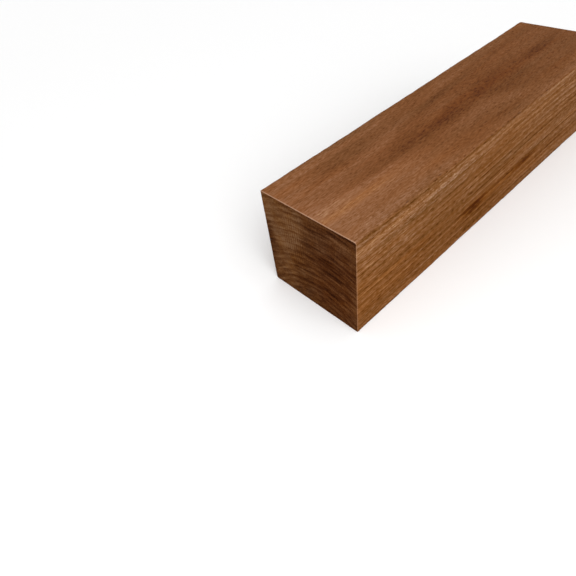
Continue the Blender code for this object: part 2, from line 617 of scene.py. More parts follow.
def draw_figure(tree: Tree, figure: Figure) -> FigureSockets:
    """Add the nodes of the wood's figure to a material.

    Args:
        tree: Node tree of a wood material.
        figure: Sizes of the pattern.

    Returns:
        The outputs that a finish takes its colour, roughness and relief from.
    """
    growth = figure.growth
    place = add(tree, "TexCoord", output="Object")
    stem = growth.stem_socket(tree, place)
    along, across, up = add(tree, "SeparateXYZ", {0: stem}).node.outputs

    # Patterns in cells that have a length along the stem and a width across it.
    patterns = []
    for label, cell, detail, roughness, distortion in (
        ("rings stray from their circles", figure.drift_cell, 2.0, 0.45, 0.0),
        ("broad colour zones", figure.zone_cell, 3.0, 0.5, 0.3),
        ("warmer and duller brown", figure.hue_cell, 3.0, 0.6, 0.0),
        ("fibre bundles", figure.fibre_cell, 2.0, 0.6, 0.0),
        ("short marks of the grain", figure.grain_cell, 1.0, 0.5, 0.0),
        ("specks of torn grain", figure.speck_cell, 1.0, 0.6, 0.0),
    ):
        in_cells = add(tree, "VectorMath", {0: stem, 1: (*cell, cell[-1])}, operation="DIVIDE")
        noise = {"Vector": in_cells, "Scale": 1.0, "Detail": detail, "Roughness": roughness}
        patterns.append(add(tree, "TexNoise", {**noise, "Distortion": distortion}, label=label))
    stray, zone, hue, fibre, grain, speck = patterns

    # Rings: the distance from the pith, which strays a little, over a ring's thickness.
    across_only = add(tree, "CombineXYZ", {1: across, 2: up})
    distance = add(tree, "VectorMath", {0: across_only}, output="Value", operation="LENGTH")
    spread = 2.0 * figure.ring_drift
    strayed = add(tree, "Math", {0: stray, 1: spread, 2: distance}, operation="MULTIPLY_ADD")
    first = growth.first_ring - figure.ring_drift / growth.ring
    count = add(tree, "Math", {0: strayed, 1: 1.0 / growth.ring, 2: first}, operation="MULTIPLY_ADD")
    part = add(tree, "Math", {0: count}, operation="FRACT", label="place in the year")
    stops = [(start, (tone, tone, tone, 1.0)) for start, tone in figure.year_tones]
    ring = add(tree, "ValToRGB", {"Fac": part}, stops=stops, label="early wood to late wood")
    year = add(
        tree,
        "TexNoise",
        {"W": count, "Scale": figure.year_scale, "Detail": 1.0, "Roughness": 0.5},
        noise_dimensions="1D",
        label="pale and dark years",
    )

    # Vessels: one in each cell, open up to a distance that is greater in early wood.
    size = (*figure.pore_cell, figure.pore_cell[-1])
    in_cells = add(tree, "VectorMath", {0: stem, 1: size}, operation="DIVIDE")
    vessel = add(tree, "TexVoronoi", {"Vector": in_cells, "Scale": 1.0}, output="Distance", label="vessels")
    edge = add(tree, "Math", {0: ring, 1: figure.early_pore, 2: figure.pore_edge}, operation="MULTIPLY_ADD")
    pore = add(
        tree,
        "MapRange",
        {"Value": vessel, "From Min": edge, "From Max": figure.pore_core},
        interpolation_type="SMOOTHSTEP",
    )

    # Growth lies in layers round the pith and rays run straight out from it, so both are drawn on the place
    # along the stem, the arc round the pith and the distance from it.
    angle = add(tree, "Math", {0: across, 1: up}, operation="ARCTAN2")
    arc = add(tree, "Math", {0: angle, 1: figure.arc_radius}, operation="MULTIPLY")
    layered = add(tree, "CombineXYZ", {0: along, 1: arc, 2: strayed})
    in_layers = add(tree, "VectorMath", {0: layered, 1: figure.layer_cell}, operation="DIVIDE")
    layer = add(
        tree,
        "TexNoise",
        {"Vector": in_layers, "Scale": 1.0, "Detail": 2.0, "Roughness": 1.0, "Lacunarity": 1.5},
        label="bands of growth inside a year",
    )
    in_rays = add(tree, "VectorMath", {0: layered, 1: figure.ray_cell}, operation="DIVIDE")
    rays = add(
        tree, "TexNoise", {"Vector": in_rays, "Scale": 1.0, "Detail": 1.0, "Roughness": 0.4}, label="rays"
    )
    low, high = figure.ray_limits
    ray = add(tree, "MapRange", {"Value": rays, "From Min": low, "From Max": high})
    return FigureSockets(place, ring, year, zone, hue, fibre, layer, grain, speck, pore, ray)


# Values of a dark and of a pale fibre bundle. Few are outside them.
FIBRE_LIMITS = (0.32, 0.68)

# Middle values of the patterns: a noise, the tone inside a year, and what covers little of the wood.
MIDDLE = 0.5
RING_MIDDLE = 0.6
RARE_MIDDLE = 0.1


def weigh(tree: Tree, start: float, shares: Sequence[tuple[Socket, float, float]]) -> Socket:
    """Add nodes that sum patterns: a start, plus weight times (pattern less its middle) for each.

    Args:
        tree: Node tree of a material.
        start: The sum where every pattern is at its middle.
        shares: Pattern, its middle value, and its weight.

    Returns:
        The output that holds the sum.
    """
    total: Socket | float = start - sum(middle * weight for _, middle, weight in shares)
    for pattern, _, weight in shares:
        total = add(tree, "Math", {0: pattern, 1: weight, 2: total}, operation="MULTIPLY_ADD")
    return total


def lay_streaks(
    tree: Tree,
    marks: FigureSockets,
    table: Mapping[Face, Sequence[Streak]],
    faces: Sequence[Face],
    start: Socket | float = 0.0,
) -> Socket:
    """Add nodes that add streaks to a value, one after another.

    A streak fades by a smooth step of the distance from its middle, in half-sizes: it has its whole strength
    up to 1 - soft and none from 1 on. The fibre bundles scale that, by 1 - ragged where they are dark and by
    1 + ragged where they are pale.

    Args:
        tree: Node tree of a wood material.
        marks: The wood's figure.
        table: The streaks of each face.
        faces: The faces that the material covers and that have streaks.
        start: The value before them.

    Returns:
        The value with the streaks.
    """
    total = start
    broken = {}
    for face, streak in [(face, streak) for face in faces for streak in table.get(face, ())]:
        if streak.ragged not in broken:
            dark, pale = FIBRE_LIMITS
            fibres = {"Value": marks.fibre, "From Min": dark, "From Max": pale}
            scale = {"To Min": 1.0 - streak.ragged, "To Max": 1.0 + streak.ragged}
            broken[streak.ragged] = add(tree, "MapRange", fibres | scale, label="fibres break streaks up")
        scaled = add(
            tree,
            "Mapping",
            {"Vector": marks.place, **streak.mapping(face)},
            vector_type="TEXTURE",
            label=streak.name,
        )
        inside = add(tree, "TexGradient", {"Vector": scaled}, output="Fac", gradient_type="SPHERICAL")
        share = add(
            tree,
            "MapRange",
            {"Value": inside, "From Max": streak.soft, "To Max": streak.strength},
            interpolation_type="SMOOTHSTEP",
        )
        total = add(tree, "Math", {0: share, 1: broken[streak.ragged], 2: total}, operation="MULTIPLY_ADD")
    return total


# What a hue of 1 and a redness of 1 add to the wood's red, green and blue, as shares of them.
WARMTH = np.array([0.0, -0.36, -1.2])
REDNESS = np.array([0.0, -1.0, -1.0])


def colour_wood(tree: Tree, tone: Socket, hue: Socket, red: Socket, colours: Sequence[str]) -> Socket:
    """Add nodes that turn the wood's tone, hue and redness into its colour.

    Warm brown has less green and much less blue for the same tone than a dull one, and redder wood loses
    the same share of both. The tone's colour is multiplied by 1 + (hue - 0.5) warmth + red redness.

    Args:
        tree: Node tree of a wood material.
        tone: Tone from 0, dark, to 1, pale.
        hue: How warm the brown is, from 0 to 1.
        red: How red it is, as the share of the green and blue that it lacks.
        colours: sRGB colours at even steps of the tone, the darkest first.

    Returns:
        The colour.
    """
    count = len(colours) - 1
    stops = tuple((number / count, linear(colour)) for number, colour in enumerate(colours))
    plain = add(tree, "ValToRGB", {"Fac": tone}, stops=stops, label="walnut by its tone")
    # The tint is white where the hue is at its middle, 0.5.
    tint = add(tree, "VectorMath", {0: hue, 1: WARMTH, 2: 1.0 - 0.5 * WARMTH}, operation="MULTIPLY_ADD")
    redder = add(tree, "VectorMath", {0: red, 1: REDNESS, 2: tint}, operation="MULTIPLY_ADD")
    return add(tree, "VectorMath", {0: plain, 1: redder}, operation="MULTIPLY")


@dataclass(frozen=True)
class PlanedWalnut:
    """American black walnut heartwood, planed along the grain and left bare.

    The cutters leave the long faces smooth and a little silky, with fine dark dashes where they open the
    vessels. The colour runs from a dark red-brown in late wood to a tan in early wood. Walnut's fibres
    scatter light inside the surface, so its gloss is well below that of a varnished board.

    Attributes:
        figure: The wood's figure.
        colours: sRGB colours from the darkest tone to the palest.
        ior: Of cellulose fibre.
        gloss: Share of a smooth surface's mirror reflection that bare open grain keeps.
        roughness: Of the cut fibre between vessels.
        pore_depth: Depth of an opened vessel, in millimetres.
        fuzz_and_highlight: sRGB colour of the fibres that stand up on a worn arris.
        top_sheen: sRGB colour of a painted sheen, a pale pinkish grey.
        top_sheen_share: Share of that colour on the top, a painted sheen for the light that the top
            reflects.
        top_sheen_heights: Heights between which it sets in, in millimetres.
        along_rings: Contrast that the rings keep where the face lies along them. Light scatters about half
            a millimetre deep there, and blends each layer with those under it.
        flat_sawn: Flatness to the rings at which they start to lose contrast, and at which they have.
        middle_tone: Tone where every pattern is at its middle.
    """

    figure: Figure = field(default_factory=Figure)
    colours: tuple[str, ...] = ("#482300", "#683f18", "#7d502b", "#916645", "#ae8863")
    ior: float = 1.5
    gloss: float = 0.003
    roughness: float = 0.5
    pore_depth: float = 0.06
    # fuzz_and_highlight: sRGB colour of the fibres that stand up on a worn arris, which also serves as a             painted highlight along the arrises.
    fuzz_and_highlight: str = "#d2ad93"
    top_sheen: str = "#be8f94"
    top_sheen_share: float = 0.032
    top_sheen_heights: tuple[float, float] = (74.8, 76.0)
    along_rings: float = 0.35
    flat_sawn: tuple[float, float] = (0.6, 0.96)
    middle_tone: float = 0.45

    def material(self) -> bpy.types.Material:
        """Make the material of the long faces and the arrises.

        Returns:
            The material, which reads from the mesh the fuzz and painted highlight on the arrises, the
            painted shade on the long arrises, and the flat-sawn share.
        """
        material, tree, shader = new_material("planed_walnut")
        marks = draw_figure(tree, self.figure)
        fuzz_and_highlight_share, arris_shade, flat_sawn = (
            add(tree, "Attribute", output="Fac", attribute_name=name)
            for name in ("arris_fuzz_and_highlight", "arris_shade", "flat_sawn")
        )
        start, full = self.flat_sawn
        contrast = add(
            tree,
            "MapRange",
            {
                "Value": flat_sawn,
                "From Min": start,
                "From Max": full,
                "To Min": 1.0,
                "To Max": self.along_rings,
            },
            label="contrast of the rings",
        )
        rings = weigh(
            tree,
            0.0,
            (
                (marks.ring, RING_MIDDLE, 0.22),
                (marks.year, MIDDLE, 0.2),
                (marks.layer, MIDDLE, 1.0),
                (marks.fibre, MIDDLE, 0.3),
                (marks.grain, MIDDLE, 0.46),
            ),
        )
        rings = add(tree, "Math", {0: rings, 1: contrast}, operation="MULTIPLY")
        faces = (Face.TOP, Face.FRONT)
        patches = lay_streaks(tree, marks, TORN_STREAKS, faces)
        speck = add(tree, "Math", {0: marks.speck, 1: MIDDLE}, operation="SUBTRACT")
        torn = add(tree, "Math", {0: speck, 1: patches}, operation="MULTIPLY")
        tone = weigh(
            tree,
            self.middle_tone,
            (
                (rings, 0.0, 1.0),
                (torn, 0.0, 0.85),
                (marks.zone, MIDDLE, 0.2),
                (marks.fibre, MIDDLE, 0.12),
                (marks.grain, MIDDLE, 0.45),
                (marks.pore, RARE_MIDDLE, -0.25),
                (marks.ray, RARE_MIDDLE, 0.05),
                # Painted shade darkens the rounded long arrises.
                (arris_shade, 0.0, -0.2),
                (lay_streaks(tree, marks, TONE_STREAKS, faces), 0.0, 1.0),
            ),
        )
        hue = lay_streaks(tree, marks, HUE_STREAKS, faces, marks.hue)
        red = lay_streaks(tree, marks, RED_STREAKS, faces)
        colour = colour_wood(tree, tone, hue, red, self.colours)
        # Painted sheen: the flat of the top is mixed a little towards a pale pinkish grey.
        height = add(tree, "SeparateXYZ", {0: marks.place}, output="Z")
        low, high = self.top_sheen_heights
        on_top = add(
            tree,
            "MapRange",
            {"Value": height, "From Min": low * MM, "From Max": high * MM, "To Max": self.top_sheen_share},
            label="top, with painted sheen",
        )
        # The arrises take the pale fuzz colour, partly fibres that stand up and partly a painted highlight.
        for share, hex_colour, label in ((on_top, self.top_sheen, "top_sheen_share"), (fuzz_and_highlight_share, self.fuzz_and_highlight, "fuzz_and_highlight")):
            feeds = {0: share, 6: colour, 7: linear(hex_colour)}
            colour = add(tree, "Mix", feeds, output=2, data_type="RGBA", label=label)
        relief = weigh(
            tree,
            0.0,
            (
                (marks.pore, 0.0, -1.0),
                (marks.grain, MIDDLE, 1.2),
                (marks.ring, RING_MIDDLE, 0.15),
                (torn, 0.0, 1.5),
            ),
        )
        depth = {"Strength": 1.0, "Distance": self.pore_depth * MM}
        finish = {
            "Base Color": colour,
            "IOR": self.ior,
            "Specular IOR Level": self.gloss,
            "Roughness": weigh(tree, self.roughness, ((marks.pore, 0.0, 0.25), (marks.fibre, MIDDLE, 0.2))),
            "Normal": add(tree, "Bump", {"Height": relief, **depth}, label="grain"),
        }
        feed(shader, finish)
        return material


@dataclass(frozen=True)
class SawnEndGrain:
    """The same walnut, cross-cut with a circular saw.

    The cut opens every vessel end-on, so light sinks in and the end is much darker than the long faces.
    Rings show as arcs round the pith, rays as fine lines straight out from it, and the blade leaves faint
    curved scratches.

    Attributes:
        figure: The wood's figure.
        cut: The saw's marks.
        colours: sRGB colours from the darkest tone to the palest.
        ior: Of cellulose fibre.
        gloss: Share of a smooth surface's mirror reflection that end grain keeps.
        roughness: Of sawn end grain.
        pore_depth: Depth of an open vessel, in millimetres.
        middle_tone: Tone where every pattern is at its middle.
    """

    figure: Figure = field(default_factory=Figure)
    cut: SawCut = field(default_factory=SawCut)
    colours: tuple[str, ...] = ("#2c1407", "#45240f", "#59351a", "#6f4a2c", "#7e5a3c")
    ior: float = 1.5
    gloss: float = 0.003
    roughness: float = 0.68
    pore_depth: float = 0.09
    middle_tone: float = 0.42

    def material(self) -> bpy.types.Material:
        """Make the material of the two ends.

        Returns:
            The material.
        """
        cut = self.cut
        material, tree, shader = new_material("sawn_walnut_end_grain")
        marks = draw_figure(tree, self.figure)
        _, across, up = add(tree, "SeparateXYZ", {0: marks.place}).node.outputs
        from_blade = add(
            tree,
            "Mapping",
            {
                "Vector": add(tree, "CombineXYZ", {1: across, 2: up}),
                "Location": (0.0, cut.middle[0] * MM, cut.middle[1] * MM),
                "Scale": (cut.scratch * MM,) * 3,
            },
            vector_type="TEXTURE",
            label="from the blade's axis",
        )
        blade = add(tree, "VectorMath", {0: from_blade}, output="Value", operation="LENGTH")
        scratch = add(
            tree,
            "TexNoise",
            {"W": blade, "Scale": 1.0, "Detail": 3.0, "Roughness": 0.6},
            noise_dimensions="1D",
            label="blade scratches",
        )
        # Chatter marks stand upright, waver a little, and fade out round the patch where the blade shook.
        waver = add(tree, "Math", {0: marks.fibre, 1: cut.waver}, operation="MULTIPLY")
        pace = tau / (cut.chatter * MM)
        turns = add(tree, "Math", {0: across, 1: pace, 2: waver}, operation="MULTIPLY_ADD")
        wave = add(tree, "Math", {0: turns}, operation="SINE", label="chatter marks")
        in_patch = add(
            tree,
            "Mapping",
            {
                "Vector": marks.place,
                "Location": tuple(value * MM for value in cut.chatter_place),
                "Scale": tuple(value * MM for value in cut.chatter_reach),
            },
            vector_type="TEXTURE",
            label="patch where the blade shook",
        )
        from_patch = add(tree, "VectorMath", {0: in_patch}, output="Value", operation="LENGTH")
        patch = add(tree, "MapRange", {"Value": from_patch, "From Min": 1.0, "From Max": 0.0})
        dark, pale = cut.layers
        weak, strong = cut.bite
        bite = add(
            tree,
            "MapRange",
            {"Value": marks.layer, "From Min": dark, "From Max": pale, "To Min": weak, "To Max": strong},
            label="the blade bites deeper in pale layers",
        )
        bitten = add(tree, "Math", {0: patch, 1: bite}, operation="MULTIPLY")
        chatter = add(tree, "Math", {0: wave, 1: bitten}, operation="MULTIPLY")
        faces = (Face.NEAR_END,)
        tone = weigh(
            tree,
            self.middle_tone,
            (
                (marks.ring, RING_MIDDLE, 0.2),
                (marks.year, MIDDLE, 0.2),
                (marks.zone, MIDDLE, 0.2),
                (marks.fibre, MIDDLE, 0.15),
                (marks.layer, MIDDLE, 1.08),
                (marks.grain, MIDDLE, 0.6),
                (marks.pore, RARE_MIDDLE, -0.2),
                (marks.ray, RARE_MIDDLE, 0.08),
                (scratch, MIDDLE, 0.2),
                (chatter, 0.0, 0.15),
                (lay_streaks(tree, marks, TONE_STREAKS, faces), 0.0, 1.0),
            ),
        )
        hue = lay_streaks(tree, marks, HUE_STREAKS, faces, marks.hue)
        red = lay_streaks(tree, marks, RED_STREAKS, faces)
        relief = weigh(
            tree, 0.0, ((marks.pore, 0.0, -1.0), (scratch, MIDDLE, 0.9), (marks.ring, RING_MIDDLE, -0.2))
        )
        depth = {"Strength": 1.0, "Distance": self.pore_depth * MM}
        finish = {
            "Base Color": colour_wood(tree, tone, hue, red, self.colours),
            "IOR": self.ior,
            "Specular IOR Level": self.gloss,
            "Roughness": weigh(tree, self.roughness, ((marks.pore, 0.0, 0.15), (scratch, MIDDLE, 0.2))),
            "Normal": add(tree, "Bump", {"Height": relief, **depth}, label="saw"),
        }
        feed(shader, finish)
        return material


@dataclass(frozen=True)
class Skin:
    """The whole surface, ready for a mesh.

    Attributes:
        points: Points in millimetres.
        quads: Quads as point numbers: those of the long faces, then the near end's, then the far end's.
        corners: Place of each quad's corners in the map of the skin.
        fuzz_and_highlight_share: How fuzzy the fibres are at each point, with the painted highlight on the
        arrises, 0 to 1.
        arris_shade: How much painted shade darkens each point of the long arrises, 0 to 1.
        flat_sawn: How far the surface lies along the rings at each point, 0 to 1.
    """

    points: np.ndarray
    quads: np.ndarray
    corners: np.ndarray
    fuzz_and_highlight_share: np.ndarray
    arris_shade: np.ndarray
    flat_sawn: np.ndarray


@dataclass
class TurningBlank:
    """The one piece: a square of walnut, planed on four long faces and cross-cut at both ends.

    The surface is one closed grid of quads. A loop of points runs round the section, clockwise as the near
    end shows it, and is carried along the blank. Each end is a square grid that fills its last loop.

    Attributes:
        low: Lowest corner of the solid, in millimetres.
        high: Highest corner of the solid, in millimetres.
        growth: The tree's growth, for relief that follows the rings.
        long_arris: Mean radius of the arrises along the grain.
        arris_spread: Share by which hand work and bruises change that radius.
        slow_cell: Length over which the hand work changes it.
        bruise_cell: Length over which bruises do.
        slow_share: Weight of the hand work in that change.
        bruise_share: Weight of the bruises in it.
        end_arris: Mean radius of the arrises round each end.
        flat_steps: Quads across the flat of a face.
        arris_steps: Quads round half an arris.
        length_steps: Quads along the blank between the end arrises.
        ring_relief: How far early wood has sunk below late wood.
        hollow: How far the planed faces wander below their plane.
        hollow_cell: Length, depth and height of such a hollow.
        torn_depth: Depth of the grain torn out along the front face's upper edge.
        torn_cell: Length, depth and height of a torn place.
        torn_limit: Value of the noise over which the grain is torn.
        torn_full: How much further on it is torn to its full depth.
        torn_below: Distance of the torn band's middle from the upper edge.
        torn_width: Distance from that middle at which about a third of it is left.
        torn_length: Distance from the near end at which about a third of it is left.
        torn_into: Distance behind the front face up to which the arris is torn as well.
        fuzz_and_highlight_cell: Length over which the fuzz and painted highlight on the long arrises come
            and go.
        fuzz_and_highlight_contrast: How sharply they do.
        long_fuzz_and_highlight: Share of fuzz and painted highlight on the long arrises where it is
            strongest.
        top_end_fuzz_and_highlight: Share of fuzz and painted highlight on the end arrises of the top, which
            catch the most light.
        end_fuzz_and_highlight: Share of fuzz and painted highlight on the other end arrises.
        ridge_cell: Length over which the saw's ridges grow stronger and weaker.
        end_relief: Share of the ring relief that the ends have.
        cut: The saw's marks.
    """

    low: np.ndarray
    high: np.ndarray
    growth: Growth = field(default_factory=Growth)
    long_arris: float = 1.15
    arris_spread: float = 0.3
    slow_cell: float = 38.0
    bruise_cell: float = 5.0
    slow_share: float = 1.2
    bruise_share: float = 0.8
    end_arris: float = 0.5
    flat_steps: int = 96
    arris_steps: int = 3
    length_steps: int = 150
    ring_relief: float = 0.035
    hollow: float = 0.08
    hollow_cell: tuple[float, float, float] = (90.0, 30.0, 30.0)
    torn_depth: float = 0.10
    torn_cell: tuple[float, float, float] = (5.0, 3.0, 1.7)
    torn_limit: float = 0.62
    torn_full: float = 0.3
    torn_below: float = 9.0
    torn_width: float = 8.0
    torn_length: float = 170.0
    torn_into: float = 2.0
    fuzz_and_highlight_cell: float = 4.0
    fuzz_and_highlight_contrast: float = 2.6
    long_fuzz_and_highlight: float = 0.05
    top_end_fuzz_and_highlight: float = 0.38
    end_fuzz_and_highlight: float = 0.12
    ridge_cell: float = 22.0
    end_relief: float = 0.5
    cut: SawCut = field(default_factory=SawCut)

    @property
    def side_steps(self) -> int:
        """Quads along one side of the section, half an arris at each end of it."""
        return self.flat_steps + 2 * self.arris_steps

    def section_angles(self) -> tuple[np.ndarray, np.ndarray]:
        """Give how a side of the section is followed, from the middle of one arris to that of the next.

        Returns:
            The angle of the surface from the face's own normal, -45 to 45 degrees, and the share of the
            flat that has been passed, 0 to 1. Both have a value for each point, the next side's first one
            included.
        """
        turn = np.linspace(-radians(45.0), 0.0, self.arris_steps + 1)
        angle = np.concatenate([turn, np.zeros(self.flat_steps - 1), -turn[::-1]])
        share = np.concatenate([np.zeros(self.arris_steps), np.linspace(0.0, 1.0, self.flat_steps + 1)])
        share = np.concatenate([share, np.ones(self.arris_steps)])
        return angle, share

    def arris_radii(self, along: np.ndarray) -> np.ndarray:
        """Give the radius of each long arris along the blank.

        A slow noise shows the uneven hand work and a fast one the small bruises: the mean radius times 1
        plus the spread times the weighted sum of the two noises, each between -1 and 1.

        Args:
            along: Places along the blank in millimetres.

        Returns:
            One row for each of the four arrises, in the order of the loop.
        """
        radii = []
        line = np.stack([along, np.zeros_like(along), np.zeros_like(along)], axis=-1)
        for number in range(len(LONG_FACES)):
            slow = 2.0 * value_noise(line, (self.slow_cell, 1.0, 1.0), SLOW_SEED + number) - 1.0
            fast = 2.0 * value_noise(line, (self.bruise_cell, 1.0, 1.0), BRUISE_SEED + number) - 1.0
            change = self.slow_share * slow + self.bruise_share * fast
            radii.append(self.long_arris * (1.0 + self.arris_spread * change))
        return np.stack(radii)

    def end_steps(self) -> tuple[np.ndarray, np.ndarray]:
        """Give how the surface turns from an end into the long faces.

        Returns:
            The sine and cosine of the turn for each loop of the end arris, the end's own plane first.
        """
        turn = np.linspace(0.0, radians(90.0), self.arris_steps + 2)
        return np.sin(turn), np.cos(turn)

    def loops(self) -> tuple[np.ndarray, np.ndarray, np.ndarray, np.ndarray]:
        """Carry the section along the blank.

        At each loop the section is a square with rounded corners. With b half its width and r an arris
        radius, a point of a side lies at (its place on the flat) + r sin(angle) along the side, and at
        b - r (1 - cos(angle)) outwards. Within an end arris of radius e the loop lies e (1 - cos(turn)) from
        the end and is smaller all round by e (1 - sin(turn)).

        Returns:
            Points in millimetres, outward normals, the share of fuzz and painted highlight there, and the
            share of painted shade on the long arrises, 0 to 1.
            Each has a row for each loop and a column for each point round it.
        """
        sine, cosine = (values[:-1] for values in self.end_steps())
        start, stop = self.low[0] + self.end_arris, self.high[0] - self.end_arris
        flats = np.linspace(start, stop, self.length_steps + 1)
        near = self.low[0] + self.end_arris * (1.0 - cosine)
        far = self.high[0] - self.end_arris * (1.0 - cosine)
        along = np.concatenate([near, flats, far[::-1]])
        outward = np.concatenate([sine, np.ones_like(flats), sine[::-1]])
        endward = np.concatenate([-cosine, np.zeros_like(flats), cosine[::-1]])
        inset = self.end_arris * (1.0 - outward)
        angle, share = self.section_angles()
        radii = self.arris_radii(along)
        middle = (self.low + self.high) / 2.0
        half = (self.high - self.low) / 2.0
        on_arris = np.abs(angle) > 0.0
        on_end = ((endward != 0.0) & (outward > 0.0))[:, None]
        points, normals, fuzz_and_highlight_share, arris_shade = [], [], [], []
        for number, face in enumerate(LONG_FACES):
            following = (number + 1) % len(LONG_FACES)
            normal, along_side = np.array(face.value), np.array(LONG_FACES[following].value)
            first, last = radii[number][:, None], radii[following][:, None]
            side_half, depth = half @ np.abs(along_side), half @ np.abs(normal)
            radius = np.where(angle < 0.0, first, last) - inset[:, None]
            flat = (-side_half + first) * (1.0 - share) + (side_half - last) * share
            sideways = flat + radius * np.sin(angle)
            outwards = depth - inset[:, None] - radius * (1.0 - np.cos(angle))
            place = middle + sideways[..., None] * along_side + outwards[..., None] * normal
            place[..., 0] = along[:, None]
            facing = np.sin(angle)[:, None] * along_side + np.cos(angle)[:, None] * normal
            facing = outward[:, None, None] * facing + endward[:, None, None] * np.array(Face.FAR_END.value)
            points.append(place[:, :-1])
            normals.append(facing[:, :-1])
            line = np.stack([along, np.full_like(along, number), np.zeros_like(along)], axis=-1)
            # Pale fuzz with a painted highlight: dashes along the long arrises, and a line round each end
            # that is strongest along the top, which catches the most light.
            noise = value_noise(line, (self.fuzz_and_highlight_cell, 1.0, 1.0), FUZZ_AND_HIGHLIGHT_SEED + number)
            dashes = np.clip(self.fuzz_and_highlight_contrast * (noise - 0.5), 0.0, 1.0)[:, None]
            end_fuzz_and_highlight = self.top_end_fuzz_and_highlight if face is Face.TOP else self.end_fuzz_and_highlight
            fuzz_and_highlight = np.maximum(self.long_fuzz_and_highlight * dashes * on_arris, end_fuzz_and_highlight * on_end)
            fuzz_and_highlight_share.append(fuzz_and_highlight[:, :-1])
            # Painted shade: the rounded long arrises are darkened most at their middles, to dull the
            # highlight that they catch, and it fades out round the ends.
            arris_shade.append((outward[:, None] * np.sin(2.0 * np.abs(angle)))[:, :-1])
        return tuple(np.concatenate(column, 1) for column in (points, normals, fuzz_and_highlight_share, arris_shade))

    def end_grid(self, loop: np.ndarray) -> np.ndarray:
        """Fill a loop with a square grid.

        A point at shares u and v is the mean of the two pairs of opposite borders, (1 - v) top + v bottom
        and (1 - u) left + u right, less the same blend of the four corners.

        Args:
            loop: Values at the loop's points, with the coordinates on the last axis.

        Returns:
            The grid of values, rows down from the top and columns across from the back to the front.
        """
        steps = self.side_steps
        closed = np.concatenate([loop, loop[:1]])
        top, right, bottom, left = (closed[side * steps : (side + 1) * steps + 1] for side in range(4))
        bottom, left = bottom[::-1], left[::-1]
        share = np.linspace(0.0, 1.0, steps + 1)
        u, v = share[None, :, None], share[:, None, None]
        borders = (1.0 - v) * top[None] + v * bottom[None] + (1.0 - u) * left[:, None] + u * right[:, None]
        upper = (1.0 - u) * top[0] + u * top[-1]
        lower = (1.0 - u) * bottom[0] + u * bottom[-1]
        return borders - (1.0 - v) * upper - v * lower

    def planed_relief(self, points: np.ndarray) -> np.ndarray:
        """Give how far the long faces lie below their planes.

        Early wood sinks by the ring relief times (1 + cos(2 pi rings)) / 2. A slow noise adds the hollow.
        Near the upper edge of the front face a fast noise, where it is over a limit, adds torn grain. With
        d the distance from a line there and l the distance from the near end, each as a share of its own
        limit, the torn grain fades by exp(-d^2) exp(-l^2).

        Args:
            points: Places in millimetres.

        Returns:
            Depths in millimetres.
        """
        ring = self.ring_relief * (1.0 + np.cos(tau * self.growth.rings(points))) / 2.0
        hollow = self.hollow * value_noise(points, self.hollow_cell, HOLLOW_SEED)
        over = value_noise(points, self.torn_cell, TORN_SEED) - self.torn_limit
        torn = np.clip(over, 0.0, self.torn_full) / self.torn_full
        from_line = (points[..., 2] - (self.high[2] - self.torn_below)) / self.torn_width
        from_end = (points[..., 0] - self.low[0]) / self.torn_length
        on_front = points[..., 1] < self.low[1] + self.torn_into
        band = np.exp(-(from_line**2)) * np.exp(-(from_end**2)) * on_front
        return ring + hollow + self.torn_depth * torn * band

    def sawn_relief(self, points: np.ndarray) -> np.ndarray:
        """Give how far an end lies below its plane.

        The blade's teeth leave ridges on circles round its axis. With d the distance from the axis, they
        are their depth times (1 - cos(2 pi d / pitch)) / 2, weakened here and there by a slow noise. The
        early wood has sunk as well.

        Args:
            points: Places in millimetres.

        Returns:
            Depths in millimetres.
        """
        distance = np.hypot(points[..., 1] - self.cut.middle[0], points[..., 2] - self.cut.middle[1])
        ridges = (1.0 - np.cos(tau * distance / self.cut.ridge_pitch)) / 2.0
        strength = value_noise(points, (1.0, self.ridge_cell, self.ridge_cell), RIDGE_SEED)
        ring = (1.0 + np.cos(tau * self.growth.rings(points))) / 2.0
        return self.cut.ridge_depth * ridges * strength + self.end_relief * self.ring_relief * ring

    def surface(self) -> Skin:
        """Work out the whole skin: the loops less their relief, and a square grid across each end.

        Returns:
            The skin, closed, with every quad facing outwards.
        """
        plain, normals, fuzz_and_highlight_share, arris_shade = self.loops()
        rows, columns = plain.shape[:2]
        sine, _ = self.end_steps()
        end_rows = len(sine) - 1
        share = np.ones(rows)
        share[:end_rows] = sine[:-1]
        share[-end_rows:] = sine[:-1][::-1]
        depth = self.planed_relief(plain) * share[:, None] + self.sawn_relief(plain) * (1.0 - share[:, None])
        points = plain - depth[..., None] * normals
        numbers = np.arange(rows * columns).reshape(rows, columns)
        steps = self.side_steps
        all_points = [points.reshape(-1, 3)]
        quads, corners = [], []
        for side in range(len(LONG_FACES)):
            tile = numbers[:, np.arange(side * steps, (side + 1) * steps + 1) % columns]
            quads.append(quad_corners(tile))
            corners.append(quad_corners(self.strip_map(points, tile, side)))
        next_number = rows * columns
        for face, row in ((Face.NEAR_END, 0), (Face.FAR_END, rows - 1)):
            flat = self.end_grid(plain[row])
            flat = flat - self.sawn_relief(flat)[..., None] * np.array(face.value)
            inner = flat[1:-1, 1:-1].reshape(-1, 3)
            tile = np.zeros((steps + 1, steps + 1), int)
            loop = np.append(numbers[row], numbers[row, 0])
            tile[0], tile[:, -1] = loop[: steps + 1], loop[steps : 2 * steps + 1]
            tile[-1], tile[:, 0] = loop[2 * steps : 3 * steps + 1][::-1], loop[3 * steps :][::-1]
            tile[1:-1, 1:-1] = next_number + np.arange(len(inner)).reshape(steps - 1, steps - 1)
            next_number += len(inner)
            all_points.append(inner)
            place = self.end_map(flat, face)
            if face is Face.NEAR_END:
                tile, place = tile.T, place.transpose(1, 0, 2)
            quads.append(quad_corners(tile))
            corners.append(quad_corners(place))
        on_ends = np.zeros(next_number - rows * columns)
